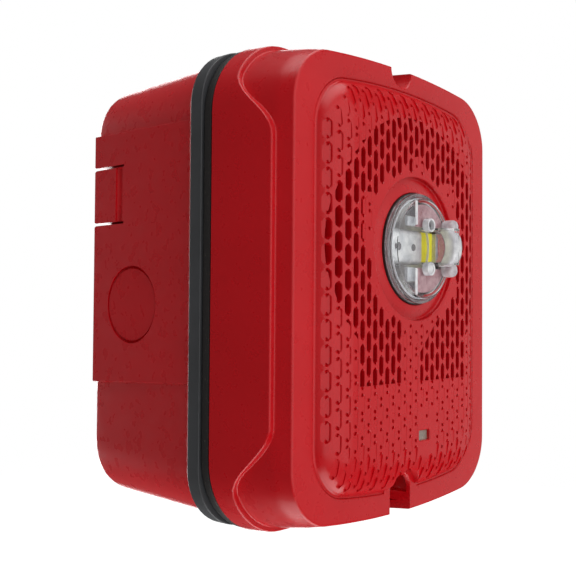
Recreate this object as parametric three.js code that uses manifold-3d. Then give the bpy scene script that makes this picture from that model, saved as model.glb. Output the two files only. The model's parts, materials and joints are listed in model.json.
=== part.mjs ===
// Outdoor wall horn strobe on its weatherproof back box, as an assembly of separate pieces.
// Millimetres, +Z up. The origin is on the wall, at the centre of the box's rear face.
// The unit faces -Y, so a "depth" below is the distance in front of the wall: y = -depth.

import * as THREE from 'three';
import { mergeVertices } from 'three/addons/utils/BufferGeometryUtils.js';
import Module from 'manifold-3d';

const wasm = await Module();
wasm.setup();

// ---------------------------------------------------------------- driving dimensions

const GAP = 0.3;                 // clearance left between pieces that touch
const WALL = 2.6;                // moulded wall thickness

const BOX_DEPTH = 51.3;          // wall to the open front edge of the back box
const BOX_REAR = { w: 51.4, h: 68.2, r: 18.4, arch: 0 };    // half width, half height, corner
const BOX_FRONT = { w: 53.8, h: 69.8, r: 19.3, arch: 0 };
const BOX_PANEL = { rearX: 52.8, frontX: 54.3, low: -29.5, high: 50 };
const BOX_REAR_WALL = 2.8;
const BOX_LIP = { start: 48.6, w: 55.6, h: 70.1, r: 18.2, arch: 0 };
const WALL_HOLES = { x: 32, z: 42, r: 2.5 };
const KNOCKOUT = { depth: 20.1, z: -5.2, r: 12.2, groove: 0.9, cut: 0.9, face: 53 };
const END_KNOCKOUT = { depth: 24, r: 11.2, face: 68.5 };
const SNAP_TAB = { length: 16, low: 21, high: 39.2, slit: 0.8 };

const PLATE = { rear: 51.6, front: 56.3, w: 57.6, h: 70.2, r: 17.6, arch: 0 };
const PLATE_SCREW = { x: 43.5, z: 58, shank: 1.8, head: 3.6, headRear: 54.3, headFront: 56, tip: 36 };
const WIRE_OPENING = { w: 20, low: 4, high: 32 };
const SEAL_OUTER = { w: 53.9, h: 69.4, r: 18.9, arch: 0 };
const SEAL_WIDTH = 1.3;
const SEAL_DEPTH = 1.2;

const TERMINAL = { w: 20.5, low: -25, high: -9, rear: 44, front: 56.2 };
const POLE_X = [-15, -5, 5, 15];
const POLE_SCREW_Z = -20;
const PIN_Z = -12;

const GASKET = { rear: 56.6, front: 59.5, width: 9.5, w: 57, h: 71.8, r: 22.7, arch: 0 };
const HOUSING_REAR = 59.8;
const FLANGE_REAR = { w: 57.1, h: 71.95, r: 22.8, arch: 0 };
const FLANGE_FRONT = { w: 56.5, h: 71.4, r: 22.2, arch: 0 };
const FLANGE_END = 67.2;
const PAD_FRONT = { w: 54.4, h: 69.6, r: 20, arch: 0 };
const PAD_END = 80.6;
const PAD_HIGH = 58.5;           // where the side pad's slanting ends start
const PAD_MID = 42.5;            // where its straight front edge ends
const RIM_FRONT = 85.8;
const BODY = [                   // outer skin of the front housing, from the flange to the rim
  { depth: HOUSING_REAR, w: 55.9, h: 70.6, r: 22, arch: 0 },
  { depth: 72, w: 54, h: 68.3, r: 18.9, arch: 1.8 },
  { depth: 80.6, w: 52.7, h: 66.2, r: 16.1, arch: 3 },
  { depth: 85, w: 51.5, h: 65.1, r: 14.7, arch: 3.8 },
  { depth: RIM_FRONT, w: 50.7, h: 64.4, r: 14.2, arch: 3.8 },
];
const CAVITY = [
  { depth: HOUSING_REAR - 1, w: 54.5, h: 69.4, r: 20.2, arch: 0 },
  { depth: 62.8, w: 54.5, h: 69.4, r: 20.2, arch: 0 },
  { depth: 67, w: 52.2, h: 67, r: 18.2, arch: 0.9 },
  { depth: 80.6, w: 50.2, h: 63.6, r: 13.8, arch: 3 },
  { depth: 83.2, w: 49.6, h: 62.8, r: 13.2, arch: 3.2 },
];
const GROOVE = { depth: 84.8, w: 42.5, h: 58.3, r: 13, arch: 3.6 };
const GRILLE = [                 // the raised grille, a pillow with sloping sides
  { depth: GROOVE.depth - 1, w: 41.8, h: 57.6, r: 12.6, arch: 3.6 },
  { depth: 86.4, w: 41.2, h: 57, r: 12.2, arch: 3.6 },
  { depth: 88.4, w: 39.7, h: 55.5, r: 11, arch: 3.4 },
  { depth: 89.9, w: 36.6, h: 52.4, r: 9, arch: 3.1 },
  { depth: 90.9, w: 33.6, h: 49.4, r: 7, arch: 2.9 },
  { depth: 91.4, w: 30.4, h: 46.2, r: 5, arch: 2.6 },
];
const GRILLE_HOLLOW = [
  { depth: 82, w: 38.4, h: 54.2, r: 10, arch: 3 },
  { depth: 86, w: 37.8, h: 53.6, r: 9.6, arch: 3 },
  { depth: 87.6, w: 35, h: 50.8, r: 8, arch: 2.8 },
  { depth: 88.9, w: 30, h: 46, r: 5, arch: 2.4 },
];
const GRILLE_FRONT = 91.4;
const SLOT_PITCH = { x: 6.1, z: 7 };
const SLOT = { w: 3.2, h: 5.8 };
const HORN_RADIUS = 40;          // the slots inside this circle round the lens are open

const LENS_Z = 12.4;             // height of the lens, horn and sounder axis
const RECESS = { r: 21.9, floor: 88.3, back: 85.6, wall: 2 };
const LENS_HOLE = 17.3;
const WINDOW = { x: 3.6, z: -44.8, w: 3.4, h: 3.8 };

const TOP_SCREW_Z = 66;
const BOTTOM_SCREW_Z = -62.1;
const CHANNEL = { r: 5.4, topZ: 68.5, bottomZ: -62.1, floor: 74.5 };
const CAPTIVE = { shank: 1.6, hole: 1.9, head: 2.9, headRear: 75.9, headFront: 78.3, tip: 51.9 };
const POST_REAR = 62.9;

const COVER = { rear: 60.2, front: 62.4, w: 54.1, h: 69, r: 19.8, arch: 0 };
const BOARD = { rear: 66, front: 67.6, w: 47, low: -54, high: 58, corner: 6 };
const BOARD_SCREWS = [[-42, 50], [42, 50], [-42, -36], [42, -36]];
const TONE = { x: -26, z: -30, dial: 3.6, hole: 4.2 };
const SLIDER = { travel: 9, z: -44.8, w: 2, h: 1.9 };

// ---------------------------------------------------------------- materials

function material(color, roughness, metalness = 0, opacity = 1) {
  return new THREE.MeshStandardMaterial({
    color, roughness, metalness, opacity, transparent: opacity < 1,
  });
}

const RED = material(0xb3202a, 0.42);
const CHARCOAL = material(0x3a3b3d, 0.5);
const RUBBER = material(0x26231f, 0.85);
const BLACK_PLASTIC = material(0x1b1b1c, 0.5);
const CLEAR = material(0xe8eef0, 0.05, 0, 0.35);
const CHROME = material(0xd9dadc, 0.12, 1);
const STEEL = material(0xa9abae, 0.35, 1);
const BRASS = material(0xc19a4a, 0.35, 1);
const BOARD_GREEN = material(0x1f6b3c, 0.5);
const BOARD_WHITE = material(0xe9e9e4, 0.5);
const PHOSPHOR = material(0xf0e428, 0.4);
const SMOKED = material(0x8b8478, 0.25, 0, 0.6);
const WHITE_PLASTIC = material(0xe3e1da, 0.5);

// ---------------------------------------------------------------- solids

function signedVolume(positions, index) {
  const a = new THREE.Vector3();
  const b = new THREE.Vector3();
  const c = new THREE.Vector3();
  let sum = 0;
  for (let i = 0; i < index.length; i += 3) {
    a.fromArray(positions, 3 * index[i]);
    b.fromArray(positions, 3 * index[i + 1]);
    c.fromArray(positions, 3 * index[i + 2]);
    sum += a.dot(b.cross(c));
  }
  return sum / 6;
}

// A closed three.js geometry as a solid, with its faces turned outwards.
function solid(geometry) {
  const bare = geometry.clone();
  bare.deleteAttribute('normal');
  bare.deleteAttribute('uv');
  const merged = mergeVertices(bare, 1e-4);
  const vertProperties = new Float32Array(merged.attributes.position.array);
  const triVerts = new Uint32Array(merged.index.array);
  if (signedVolume(vertProperties, triVerts) < 0) {
    for (let i = 0; i < triVerts.length; i += 3) {
      [triVerts[i], triVerts[i + 1]] = [triVerts[i + 1], triVerts[i]];
    }
  }
  return new wasm.Manifold(new wasm.Mesh({ numProp: 3, vertProperties, triVerts }));
}

function joined(first, ...rest) {
  return rest.reduce((sum, piece) => sum.add(piece), first);
}

function cut(first, ...rest) {
  return rest.reduce((left, piece) => left.subtract(piece), first);
}

const group = new THREE.Group();

function addPiece(name, shape, finish) {
  const { vertProperties, triVerts, numProp } = shape.getMesh();
  const positions = new Float32Array(vertProperties.length / numProp * 3);
  for (let i = 0; i < positions.length / 3; i += 1) {
    positions.set(vertProperties.subarray(i * numProp, i * numProp + 3), i * 3);
  }
  const geometry = new THREE.BufferGeometry();
  geometry.setAttribute('position', new THREE.BufferAttribute(positions, 3));
  geometry.setIndex(new THREE.BufferAttribute(new Uint32Array(triVerts), 1));
  geometry.computeVertexNormals();
  const mesh = new THREE.Mesh(geometry, finish);
  mesh.name = name;
  group.add(mesh);
}

// Rounded rectangle in X and Z, as points going round. arch lifts the middle of its ends.
const CORNER_STEPS = 5;
const END_STEPS = 4;

function outline({ w, h, r, arch }) {
  const points = [];
  const lift = (x) => arch * (1 - (x / w) ** 2);
  const corners = [[1, 1], [-1, 1], [-1, -1], [1, -1]];
  corners.forEach(([sx, sz], corner) => {
    for (let i = 0; i <= CORNER_STEPS; i += 1) {
      const turn = (corner + i / CORNER_STEPS) * Math.PI / 2;
      const x = sx * (w - r) + r * Math.cos(turn);
      const z = sz * (h - r) + r * Math.sin(turn);
      points.push([x, z + sz * lift(x)]);
    }
    if (sx * sz > 0) {
      for (let i = 1; i < END_STEPS; i += 1) {
        const x = sx * (w - r) * (1 - 2 * i / END_STEPS);
        points.push([x, sz * (h + lift(x))]);
      }
    }
  });
  return points;
}

// A solid through outlines that stand at their own depths.
function loftOutlines(rings) {
  const positions = [];
  const index = [];
  const count = rings[0].points.length;
  rings.forEach(({ depth, points }) => {
    points.forEach(([x, z]) => positions.push(x, -depth, z));
  });
  for (let ring = 0; ring + 1 < rings.length; ring += 1) {
    for (let i = 0; i < count; i += 1) {
      const a = ring * count + i;
      const b = ring * count + (i + 1) % count;
      index.push(a, b, b + count, a, b + count, a + count);
    }
  }
  [0, rings.length - 1].forEach((ring) => {
    const centre = positions.length / 3;
    positions.push(0, -rings[ring].depth, 0);
    for (let i = 0; i < count; i += 1) {
      const a = ring * count + i;
      const b = ring * count + (i + 1) % count;
      index.push(...(ring === 0 ? [centre, b, a] : [centre, a, b]));
    }
  });
  const geometry = new THREE.BufferGeometry();
  geometry.setAttribute('position', new THREE.Float32BufferAttribute(positions, 3));
  geometry.setIndex(index);
  return solid(geometry);
}

function loft(sections) {
  return loftOutlines(sections.map((s) => ({ depth: s.depth, points: outline(s) })));
}

function slab(section, rear, front) {
  return loft([{ ...section, depth: rear }, { ...section, depth: front }]);
}

function inset(section, by) {
  return { ...section, w: section.w - by, h: section.h - by, r: section.r - by };
}

function block(x0, x1, rear, front, z0, z1) {
  const geometry = new THREE.BoxGeometry(x1 - x0, front - rear, z1 - z0);
  geometry.translate((x0 + x1) / 2, -(rear + front) / 2, (z0 + z1) / 2);
  return solid(geometry);
}

function rod(x, z, radius, rear, front, sides = 16) {
  const geometry = new THREE.CylinderGeometry(radius, radius, front - rear, sides);
  geometry.translate(x, -(rear + front) / 2, z);
  return solid(geometry);
}

function rodAlongX(depth, z, radius, x0, x1, sides = 16) {
  const geometry = new THREE.CylinderGeometry(radius, radius, x1 - x0, sides);
  geometry.rotateZ(Math.PI / 2);
  geometry.translate((x0 + x1) / 2, -depth, z);
  return solid(geometry);
}

function rodAlongZ(x, depth, radius, z0, z1, sides = 16) {
  const geometry = new THREE.CylinderGeometry(radius, radius, z1 - z0, sides);
  geometry.rotateX(Math.PI / 2);
  geometry.translate(x, -depth, (z0 + z1) / 2);
  return solid(geometry);
}

// Turned piece about the horn's axis, from [radius, depth] points.
function turned(points, sides = 24) {
  const profile = points.map(([radius, depth]) => new THREE.Vector2(radius, -depth));
  const geometry = new THREE.LatheGeometry(profile, sides);
  geometry.translate(0, 0, LENS_Z);
  return solid(geometry);
}

function ring(inner, outer, rear, front, sides = 24) {
  return turned([[inner, rear], [outer, rear], [outer, front], [inner, front], [inner, rear]], sides);
}

// Profile in depth and Z, extruded sideways from x0 to x1.
function sideways(points, x0, x1) {
  const shape = new THREE.Shape(points.map(([depth, z]) => new THREE.Vector2(-depth, z)));
  const geometry = new THREE.ExtrudeGeometry(shape, { depth: x1 - x0, bevelEnabled: false });
  geometry.applyMatrix4(new THREE.Matrix4().set(
    0, 0, 1, x0,
    1, 0, 0, 0,
    0, 1, 0, 0,
    0, 0, 0, 1,
  ));
  return solid(geometry);
}

function crossHead(x, z, head, face) {
  const arm = head * 0.62;
  const width = 0.45;
  const deep = 1;
  return joined(
    block(x - arm, x + arm, face - deep, face + 1, z - width, z + width),
    block(x - width, x + width, face - deep, face + 1, z - arm, z + arm),
  );
}

function screw(x, z, { shank, head, headRear, headFront, tip }) {
  const whole = rod(x, z, head, headRear, headFront).add(rod(x, z, shank, tip, headRear + 0.5, 12));
  return whole.subtract(crossHead(x, z, head, headFront));
}

// ---------------------------------------------------------------- back box and its fittings

function sidePanel(side) {
  const { rearX, frontX, low, high } = BOX_PANEL;
  const face = (x) => [[side * 40, low], [side * x, low + 1], [side * x, high - 1], [side * 40, high]];
  const rings = [{ depth: 0, points: face(rearX) }, { depth: BOX_DEPTH, points: face(frontX) }];
  const centred = rings.map(({ depth, points }) => ({
    depth, points: points.map(([x, z]) => [x - side * 46, z - 10]),
  }));
  return loftOutlines(centred).translate([side * 46, 0, 10]);
}

// Tools that flatten a round disc on a drafted wall and, at the side, cut a ring groove round it.
function sideKnockout(side) {
  const { depth, z, r, groove, face } = KNOCKOUT;
  const reach = 4;
  const sides = 24;
  const along = (radius, near, far) => {
    const ends = [side * near, side * far];
    return rodAlongX(depth, z, radius, Math.min(...ends), Math.max(...ends), sides);
  };
  return {
    disc: along(r + 1, face - WALL + 0.2, face - 0.5),
    facing: along(r - groove / 2, face, face + reach),
    trench: along(r, face - KNOCKOUT.cut, face + reach).subtract(along(r - groove, face - 2, face + reach + 1)),
  };
}

function endKnockout(side) {
  const { depth, r, face } = END_KNOCKOUT;
  const along = (radius, near, far) => {
    const ends = [side * near, side * far];
    return rodAlongZ(0, depth, radius, Math.min(...ends), Math.max(...ends), 24);
  };
  return { disc: along(r + 1, face - WALL + 0.2, face - 0.5), facing: along(r, face, face + 4) };
}

function snapTabSlits(side) {
  const outer = side * (BOX_FRONT.w + 2);
  const inner = side * (BOX_REAR.w - WALL - 1);
  const [x0, x1] = [Math.min(inner, outer), Math.max(inner, outer)];
  const { low, high, slit, length } = SNAP_TAB;
  return [low, high].map((z) => block(x0, x1, BOX_REAR_WALL, length, z - slit / 2, z + slit / 2));
}

function backBox() {
  const lip = loft([
    { ...BOX_FRONT, depth: BOX_LIP.start - 1.2 },
    { ...BOX_LIP, depth: BOX_LIP.start },
    { ...BOX_LIP, depth: BOX_DEPTH },
  ]);
  const skin = loft([{ ...BOX_REAR, depth: 0 }, { ...BOX_FRONT, depth: BOX_DEPTH }]);
  const outer = joined(skin, sidePanel(1), sidePanel(-1), lip);
  const hollow = loft([
    { ...inset(BOX_REAR, WALL), depth: BOX_REAR_WALL },
    { ...inset(BOX_FRONT, WALL), depth: BOX_DEPTH + 1 },
  ]);
  let box = outer.subtract(hollow);
  const corners = [[1, 1], [-1, 1], [-1, -1], [1, -1]];
  corners.forEach(([sx, sz]) => {
    const boss = rod(sx * PLATE_SCREW.x, sz * PLATE_SCREW.z, 5.2, 1, BOX_DEPTH);
    const hole = rod(sx * PLATE_SCREW.x, sz * PLATE_SCREW.z, 2.1, PLATE_SCREW.tip - 2, BOX_DEPTH + 1, 12);
    const fixing = rod(sx * WALL_HOLES.x, sz * WALL_HOLES.z, WALL_HOLES.r, -1, BOX_REAR_WALL + 1, 14);
    box = cut(box.add(boss), hole, fixing);
  });
  [1, -1].forEach((side) => {
    const round = sideKnockout(side);
    const end = endKnockout(side);
    box = cut(box.add(round.disc).add(end.disc), round.facing, round.trench, end.facing);
    box = cut(box, ...snapTabSlits(side));
  });
  return box;
}

function boxSeal() {
  const start = PLATE.rear;
  const outer = slab(SEAL_OUTER, start, start + SEAL_DEPTH);
  return outer.subtract(slab(inset(SEAL_OUTER, SEAL_WIDTH), start - 1, start + SEAL_DEPTH + 1));
}

function sealGroove() {
  const outer = slab(inset(SEAL_OUTER, -GAP), PLATE.rear - 1, PLATE.rear + SEAL_DEPTH + GAP);
  return outer.subtract(slab(inset(SEAL_OUTER, SEAL_WIDTH + GAP), PLATE.rear - 2, PLATE.front));
}

function mountingPlate() {
  const { rear, front } = PLATE;
  let plate = cut(
    slab(PLATE, rear, front),
    sealGroove(),
    block(-TERMINAL.w - GAP, TERMINAL.w + GAP, rear - 1, front + 1, TERMINAL.low - GAP, TERMINAL.high + GAP),
    block(-WIRE_OPENING.w, WIRE_OPENING.w, rear - 1, front + 1, WIRE_OPENING.low, WIRE_OPENING.high),
    rod(0, TOP_SCREW_Z, CAPTIVE.hole, rear - 1, front + 1, 12),
    rod(0, BOTTOM_SCREW_Z, CAPTIVE.hole, rear - 1, front + 1, 12),
  );
  [[1, 1], [-1, 1], [-1, -1], [1, -1]].forEach(([sx, sz]) => {
    const x = sx * PLATE_SCREW.x;
    const z = sz * PLATE_SCREW.z;
    const sink = rod(x, z, PLATE_SCREW.head + 0.4, PLATE_SCREW.headRear - GAP, front + 1);
    plate = cut(plate, sink, rod(x, z, PLATE_SCREW.shank + 0.4, rear - 1, front + 1, 12));
  });
  return plate;
}

function terminalBlock() {
  const { w, low, high, rear, front } = TERMINAL;
  let body = block(-w, w, rear, front, low, high);
  POLE_X.forEach((x) => {
    body = cut(
      body,
      rod(x, POLE_SCREW_Z, 2.9, 51, front + 1),
      rod(x, POLE_SCREW_Z, 1.8, 45.6, front, 12),
      rodAlongZ(x, 48.5, 1.9, low - 1, POLE_SCREW_Z, 12),
    );
  });
  return body;
}

// A bent brass leaf on the face of the terminal block, which meets one pin of the front unit.
function contactSpring(x) {
  const foot = TERMINAL.front + GAP;
  const crown = foot + 0.55;
  const thick = 0.35;
  const lower = [[foot, -9.6], [foot, -10.6], [crown, -12], [foot, -13.4], [foot, -14.6]];
  const upper = lower.map(([depth, z]) => [depth + thick, z]).reverse();
  return sideways([...lower, ...upper], x - 2, x + 2);
}

// ---------------------------------------------------------------- front housing

function padMask() {
  const far = 90;
  const high = [[FLANGE_END, PAD_HIGH], [PAD_END - 1.6, PAD_MID + 1.9], [PAD_END, PAD_MID - 3]];
  const low = high.map(([depth, z]) => [depth, -z]).reverse();
  return sideways([[HOUSING_REAR - 1, far], [FLANGE_END, far], ...high, ...low,
    [FLANGE_END, -far], [HOUSING_REAR - 1, -far]], -far, far);
}

function housingSkin() {
  const flange = loft([
    { ...FLANGE_REAR, depth: HOUSING_REAR },
    { ...FLANGE_FRONT, depth: FLANGE_END },
  ]);
  const pads = loft([
    { ...FLANGE_REAR, depth: HOUSING_REAR },
    { ...PAD_FRONT, depth: PAD_END + 1 },
  ]).intersect(padMask());
  return joined(loft(BODY), flange, pads);
}

function grilleSlots() {
  const slots = [];
  const { w, h } = SLOT;
  const across = Math.ceil(HORN_RADIUS / SLOT_PITCH.x);
  const up = Math.ceil(HORN_RADIUS / SLOT_PITCH.z);
  const shape = [[-w / 2, -h / 2 + 1], [0, -h / 2], [w / 2, -h / 2 + 1],
    [w / 2, h / 2 - 1], [0, h / 2], [-w / 2, h / 2 - 1]];
  for (let column = -across; column <= across; column += 1) {
    for (let row = -up; row <= up; row += 1) {
      const x = column * SLOT_PITCH.x;
      const z = (row + (column % 2 === 0 ? 0 : 0.5)) * SLOT_PITCH.z;
      const nearest = Math.hypot(Math.max(Math.abs(x) - w / 2, 0), Math.max(Math.abs(z) - h / 2, 0));
      const furthest = Math.hypot(Math.abs(x) + w / 2, Math.abs(z) + h / 2);
      if (nearest > RECESS.r + RECESS.wall + GAP && furthest < HORN_RADIUS) {
        const rings = [84, 94].map((depth) => ({ depth, points: shape }));
        slots.push(loftOutlines(rings).translate([x, 0, z + LENS_Z]));
      }
    }
  }
  return slots;
}

function screwChannels() {
  const { r, topZ, bottomZ, floor } = CHANNEL;
  const far = 80;
  const open = RIM_FRONT + 4;
  return joined(
    rod(0, topZ, r, floor, open, 24),
    block(-r, r, floor, open, topZ, far),
    rod(0, TOP_SCREW_Z, CAPTIVE.head + GAP, floor, open, 20),
    rod(0, bottomZ, r, floor, open, 24),
    block(-r, r, floor, open, -far, bottomZ),
    rod(0, TOP_SCREW_Z, CAPTIVE.hole, HOUSING_REAR - 1, open, 12),
    rod(0, BOTTOM_SCREW_Z, CAPTIVE.hole, HOUSING_REAR - 1, open, 12),
  );
}

// Walls round the screw channels and the posts behind them, kept inside the skin.
function screwTowers(skin) {
  const side = CHANNEL.r + 1.8;
  const start = CHANNEL.floor - 3;
  return joined(
    block(-side, side, start, RIM_FRONT - 1, 61.2, 74),
    block(-side, side, start, RIM_FRONT - 1, -74, -54.8),
    rod(0, TOP_SCREW_Z, 3.6, POST_REAR, start + 1),
    rod(0, BOTTOM_SCREW_Z, 4.4, POST_REAR, start + 1),
  ).intersect(skin);
}

function boardBosses() {
  return joined(...BOARD_SCREWS.map(([x, z]) => rod(x, z, 3, BOARD.front + GAP, 84, 12)));
}

function frontHousing() {
  const skin = housingSkin();
  const sunk = skin.subtract(slab(GROOVE, GROOVE.depth, RIM_FRONT + 2));
  const shell = cut(joined(sunk, loft(GRILLE)), loft(CAVITY), loft(GRILLE_HOLLOW));
  const floorDisc = rod(0, LENS_Z, RECESS.r + RECESS.wall, RECESS.back, GRILLE_FRONT - 1, 40);
  const solidParts = joined(shell, floorDisc, screwTowers(skin), boardBosses());
  const window = WINDOW;
  const housing = cut(
    solidParts,
    rod(0, LENS_Z, RECESS.r, RECESS.floor, GRILLE_FRONT + 2, 40),
    rod(0, LENS_Z, LENS_HOLE, RECESS.back - 1, GRILLE_FRONT + 2, 40),
    screwChannels(),
    block(window.x - window.w / 2 - GAP, window.x + window.w / 2 + GAP, 84, 94,
      window.z - window.h / 2 - GAP, window.z + window.h / 2 + GAP),
    ...BOARD_SCREWS.map(([x, z]) => rod(x, z, 1.35, BOARD.front - 1, 78, 10)),
  );
  return cut(housing, ...grilleSlots());
}

function housingGasket() {
  const { rear, front, width } = GASKET;
  return cut(
    slab(GASKET, rear, front),
    slab(inset(GASKET, width), rear - 1, front + 1),
    rod(0, TOP_SCREW_Z, CAPTIVE.hole, rear - 1, front + 1, 12),
    rod(0, BOTTOM_SCREW_Z, CAPTIVE.hole, rear - 1, front + 1, 12),
  );
}

function rearCover() {
  const { rear, front } = COVER;
  const { w, h, z, travel } = SLIDER;
  const clear = 0.5;
  return cut(
    slab(COVER, rear, front),
    rod(0, TOP_SCREW_Z, CAPTIVE.hole, rear - 1, front + 1, 12),
    rod(0, BOTTOM_SCREW_Z, CAPTIVE.hole, rear - 1, front + 1, 12),
    rod(TONE.x, TONE.z, TONE.hole, rear - 1, front + 1, 20),
    block(-w - clear, w + travel + clear, rear - 1, front + 1, z - h - clear, z + h + clear),
    block(POLE_X[0] - 2.6, POLE_X[3] + 2.6, rear - 1, front + 1, PIN_Z - 2.5, PIN_Z + 2.5),
  );
}

// ---------------------------------------------------------------- electronics and sounder

function circuitBoard() {
  const { rear, front, w, low, high, corner } = BOARD;
  const half = { w, h: (high - low) / 2, r: corner, arch: 0 };
  const board = slab(half, rear, front).translate([0, 0, (high + low) / 2]);
  const slot = block(-12, 19, rear - 1, front + 1, low - 1, SLIDER.z + 5);
  return cut(board, slot, ...BOARD_SCREWS.map(([x, z]) => rod(x, z, 1.6, rear - 1, front + 1, 12)));
}

function boardScrew(x, z) {
  const head = rod(x, z, 2.5, 64, BOARD.rear - GAP);
  const shank = rod(x, z, 1, BOARD.rear - 1, 76, 12);
  const driverSlot = block(x - 1.8, x + 1.8, 63, 64.7, z - 0.4, z + 0.4);
  return cut(joined(head, shank), driverSlot);
}

function hornBody() {
  const bowl = turned([
    [0, 80.3], [12, 80.3], [12, 78.2], [26.5, 78.2], [39.2, 82.9], [40.6, 82.9], [27.6, 76.6], [0, 76.6],
  ]);
  const ports = 6;
  let horn = bowl;
  for (let i = 0; i < ports; i += 1) {
    const turn = i / ports * 2 * Math.PI;
    horn = horn.subtract(rod(19 * Math.cos(turn), LENS_Z + 19 * Math.sin(turn), 2.6, 70, 84, 12));
  }
  return horn;
}

function sounderCase() {
  return turned([[0, 68], [22, 68], [22, 76.3], [20.4, 76.3], [20.4, 69.6], [0, 69.6]], 28);
}

function lens() {
  return turned([
    [0, 103.4], [7, 102.4], [11.4, 100.2], [14.6, 97.3], [16.4, 94], [17, 91], [17, 84.1],
    [19.6, 84.1], [19.6, 82.6], [15.4, 82.6], [15.4, 91], [14.9, 93.3], [13.2, 96], [10.4, 98.6],
    [6.4, 100.7], [0, 101.6],
  ]);
}

function reflector() {
  return turned([[4.2, 83.6], [14.2, 90.6], [14.9, 90.2], [5, 82.6], [4.2, 82.6], [4.2, 83.6]]);
}

function strobeLed(z) {
  const half = 1.5;
  return block(-half, half, 81.9, 83.4, z - half, z + half);
}

function toneDial() {
  const { x, z, dial } = TONE;
  const knob = rod(x, z, dial, 59.4, 62.5, 20);
  const stem = rod(x, z, 1.2, 62, 64.5, 12);
  return cut(
    joined(knob, stem),
    block(x - 0.5, x + 0.5, 59, 60.3, z - 2.6, z + 2.6),
    block(x - 1.4, x + 1.4, 59, 60.3, z + 1.6, z + 2.6),
  );
}

function toneSwitchBody() {
  const { x, z } = TONE;
  return block(x - 5, x + 5, 62.9, 65.7, z - 5, z + 5).subtract(rod(x, z, 1.5, 62, 64.9, 12));
}

// Knob, arm and flag in one: the knob is reached through the cover, the flag shows in the window.
function candelaSlider() {
  const { w, h, z } = SLIDER;
  return joined(
    block(-w, w, 59, 86, z - h, z + h),
    block(-8.5, 6.5, 85, 86.4, z - 2.1, z + 2.1),
  );
}

function candelaWindow() {
  const { x, z, w, h } = WINDOW;
  return block(x - w / 2, x + w / 2, 89.2, 90.9, z - h / 2, z + h / 2);
}

function captiveScrew(z) {
  return screw(0, z, CAPTIVE);
}

function screwSeal(z) {
  const rear = CHANNEL.floor + GAP;
  const front = CAPTIVE.headRear - GAP;
  return rod(0, z, 2.8, rear, front).subtract(rod(0, z, CAPTIVE.shank + GAP, rear - 1, front + 1, 12));
}

// ---------------------------------------------------------------- assembly

addPiece('back_box', backBox(), RED);
addPiece('box_seal', boxSeal(), RUBBER);
addPiece('mounting_plate', mountingPlate(), CHARCOAL);
addPiece('terminal_block', terminalBlock(), BLACK_PLASTIC);
POLE_X.forEach((x, i) => {
  const size = { shank: 1.5, head: 2.5, headRear: 51.4, headFront: 53.4, tip: 46 };
  addPiece(`terminal_screw_${i + 1}`, screw(x, POLE_SCREW_Z, size), STEEL);
  addPiece(`contact_spring_${i + 1}`, contactSpring(x), BRASS);
});
[[1, 1], [-1, 1], [-1, -1], [1, -1]].forEach(([sx, sz], i) => {
  addPiece(`plate_screw_${i + 1}`, screw(sx * PLATE_SCREW.x, sz * PLATE_SCREW.z, PLATE_SCREW), STEEL);
});

addPiece('front_housing', frontHousing(), RED);
addPiece('housing_gasket', housingGasket(), RUBBER);
addPiece('rear_cover', rearCover(), BLACK_PLASTIC);
addPiece('circuit_board', circuitBoard(), BOARD_GREEN);
BOARD_SCREWS.forEach(([x, z], i) => addPiece(`board_screw_${i + 1}`, boardScrew(x, z), STEEL));
POLE_X.forEach((x, i) => addPiece(`contact_pin_${i + 1}`, rod(x, PIN_Z, 1.1, 57.7, 65.7, 12), BRASS));
addPiece('lens', lens(), CLEAR);
addPiece('lens_seal', ring(17.3, 19.6, 84.4, 85.3, 28), RUBBER);
addPiece('reflector', reflector(), CHROME);
addPiece('led_board', rod(0, LENS_Z, 11.5, 80.6, 81.6, 24), BOARD_WHITE);
addPiece('strobe_led_1', strobeLed(LENS_Z + 1.7), PHOSPHOR);
addPiece('strobe_led_2', strobeLed(LENS_Z - 1.7), PHOSPHOR);
addPiece('horn_body', hornBody(), BLACK_PLASTIC);
addPiece('sounder_case', sounderCase(), BLACK_PLASTIC);
addPiece('sounder_magnet', rod(0, LENS_Z, 5, 69.9, 73, 20), STEEL);
addPiece('sounder_coil', ring(6, 9, 69.9, 72.6, 24), BRASS);
addPiece('sounder_diaphragm', rod(0, LENS_Z, 20, 74.6, 75, 28), STEEL);
addPiece('storage_capacitor', rodAlongX(75.5, -45, 6.3, -36, -12, 20), BLACK_PLASTIC);
addPiece('ferrite_inductor', rod(27, -44, 7, 67.9, 79, 20), BLACK_PLASTIC);
addPiece('controller_chip', block(-36, -26, 67.9, 69.5, -26, -16), BLACK_PLASTIC);
addPiece('tone_switch_body', toneSwitchBody(), BLACK_PLASTIC);
addPiece('candela_window', candelaWindow(), SMOKED);
addPiece('top_screw_seal', screwSeal(TOP_SCREW_Z), RUBBER);
addPiece('bottom_screw_seal', screwSeal(BOTTOM_SCREW_Z), RUBBER);

addPiece('top_screw', captiveScrew(TOP_SCREW_Z), STEEL);
addPiece('bottom_screw', captiveScrew(BOTTOM_SCREW_Z), STEEL);
addPiece('tone_dial', toneDial(), WHITE_PLASTIC);
addPiece('candela_slider', candelaSlider(), WHITE_PLASTIC);

export default group;
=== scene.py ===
"""Looks of a red outdoor wall horn strobe on its back box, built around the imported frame.

Lengths are millimetres. The unit faces -Y, and a "depth" is the distance in front of the wall,
so y = -depth. Everything is turned into metres where a mesh is made.
"""

import json
import math

import bmesh
import bpy
from mathutils import Matrix, Vector


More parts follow.
